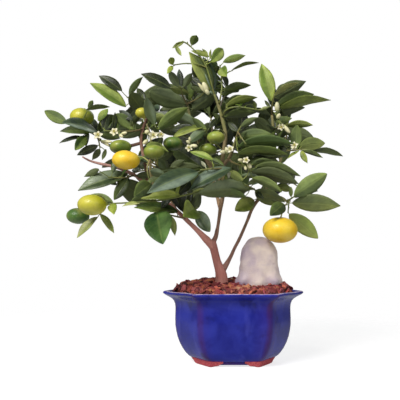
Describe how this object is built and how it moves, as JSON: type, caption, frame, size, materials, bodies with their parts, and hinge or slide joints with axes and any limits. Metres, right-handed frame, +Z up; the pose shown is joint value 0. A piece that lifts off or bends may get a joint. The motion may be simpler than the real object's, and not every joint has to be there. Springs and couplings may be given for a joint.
{
  "type": "potted calamondin bonsai",
  "caption": "Small calamondin citrus tree with leaf sprays, fruits and blossoms, standing in a footed six-sided glazed pot with bark dressing and an upright stone.",
  "frame": {"origin": "middle of the bounding box in plan, at the level the pot's feet stand on", "axes": "+Z up along the trunk; -Y is the front of the pot, +X is to the right seen from the front, along the pot's long side"},
  "size_m": [0.3472, 0.2536, 0.3861],
  "materials": {
    "pot_glaze": "glossy cobalt blue glaze, purple-brown where it thins at the corners, bare red clay feet",
    "screen_plastic": "matt black moulded mesh",
    "potting_soil": "damp dark crumbly potting soil",
    "bark_chips": "rough red-brown bark chips",
    "pale_stone": "water-worn pale grey-pink stone with violet shading low down",
    "bark": "smooth pinkish-brown bark, green on the youngest shoots",
    "leaf": "waxy half-gloss, from dark blue-green to yellow-green",
    "rind_ripe": "half-gloss golden peel with fine pores",
    "rind_turning": "half-gloss yellow-green peel with fine pores",
    "rind_lime": "half-gloss light green peel with fine pores",
    "rind_green": "half-gloss dark green peel with fine pores",
    "petal": "soft matt white with a cream heart"
  },
  "bodies": {
    "root": {"pot": "pot_glaze", "drain_screen": "screen_plastic", "soil": "potting_soil", "bark_dressing": "bark_chips", "stone": "pale_stone", "trunk": "bark", "calamondin_01": "rind_ripe", "calamondin_02": "rind_ripe", "calamondin_03": "rind_lime", "calamondin_04": "rind_turning", "calamondin_05": "rind_green", "calamondin_06": "rind_turning", "calamondin_07": "rind_lime", "calamondin_08": "rind_lime", "calamondin_09": "rind_green", "calamondin_10": "rind_turning", "calamondin_11": "rind_lime", "calamondin_12": "rind_green", "calamondin_13": "rind_lime", "blossom_01": "petal", "blossom_02": "petal", "blossom_03": "petal", "blossom_04": "petal", "blossom_05": "petal", "blossom_06": "petal", "blossom_07": "petal", "blossom_08": "petal", "blossom_09": "petal", "leaf_spray_01": "leaf", "leaf_spray_02": "leaf", "leaf_spray_03": "leaf", "leaf_spray_04": "leaf", "leaf_spray_05": "leaf", "leaf_spray_06": "leaf", "leaf_spray_07": "leaf", "leaf_spray_08": "leaf", "leaf_spray_09": "leaf", "leaf_spray_10": "leaf", "leaf_spray_11": "leaf", "leaf_spray_12": "leaf", "leaf_spray_13": "leaf", "leaf_spray_14": "leaf", "leaf_spray_15": "leaf", "leaf_spray_16": "leaf", "leaf_spray_17": "leaf", "leaf_spray_18": "leaf", "leaf_spray_19": "leaf", "leaf_spray_20": "leaf", "leaf_spray_21": "leaf", "leaf_spray_22": "leaf", "leaf_spray_23": "leaf", "leaf_spray_24": "leaf", "leaf_spray_25": "leaf", "leaf_spray_26": "leaf", "leaf_spray_27": "leaf", "leaf_spray_28": "leaf", "leaf_spray_29": "leaf", "leaf_spray_30": "leaf"}
  },
  "joints": []
}
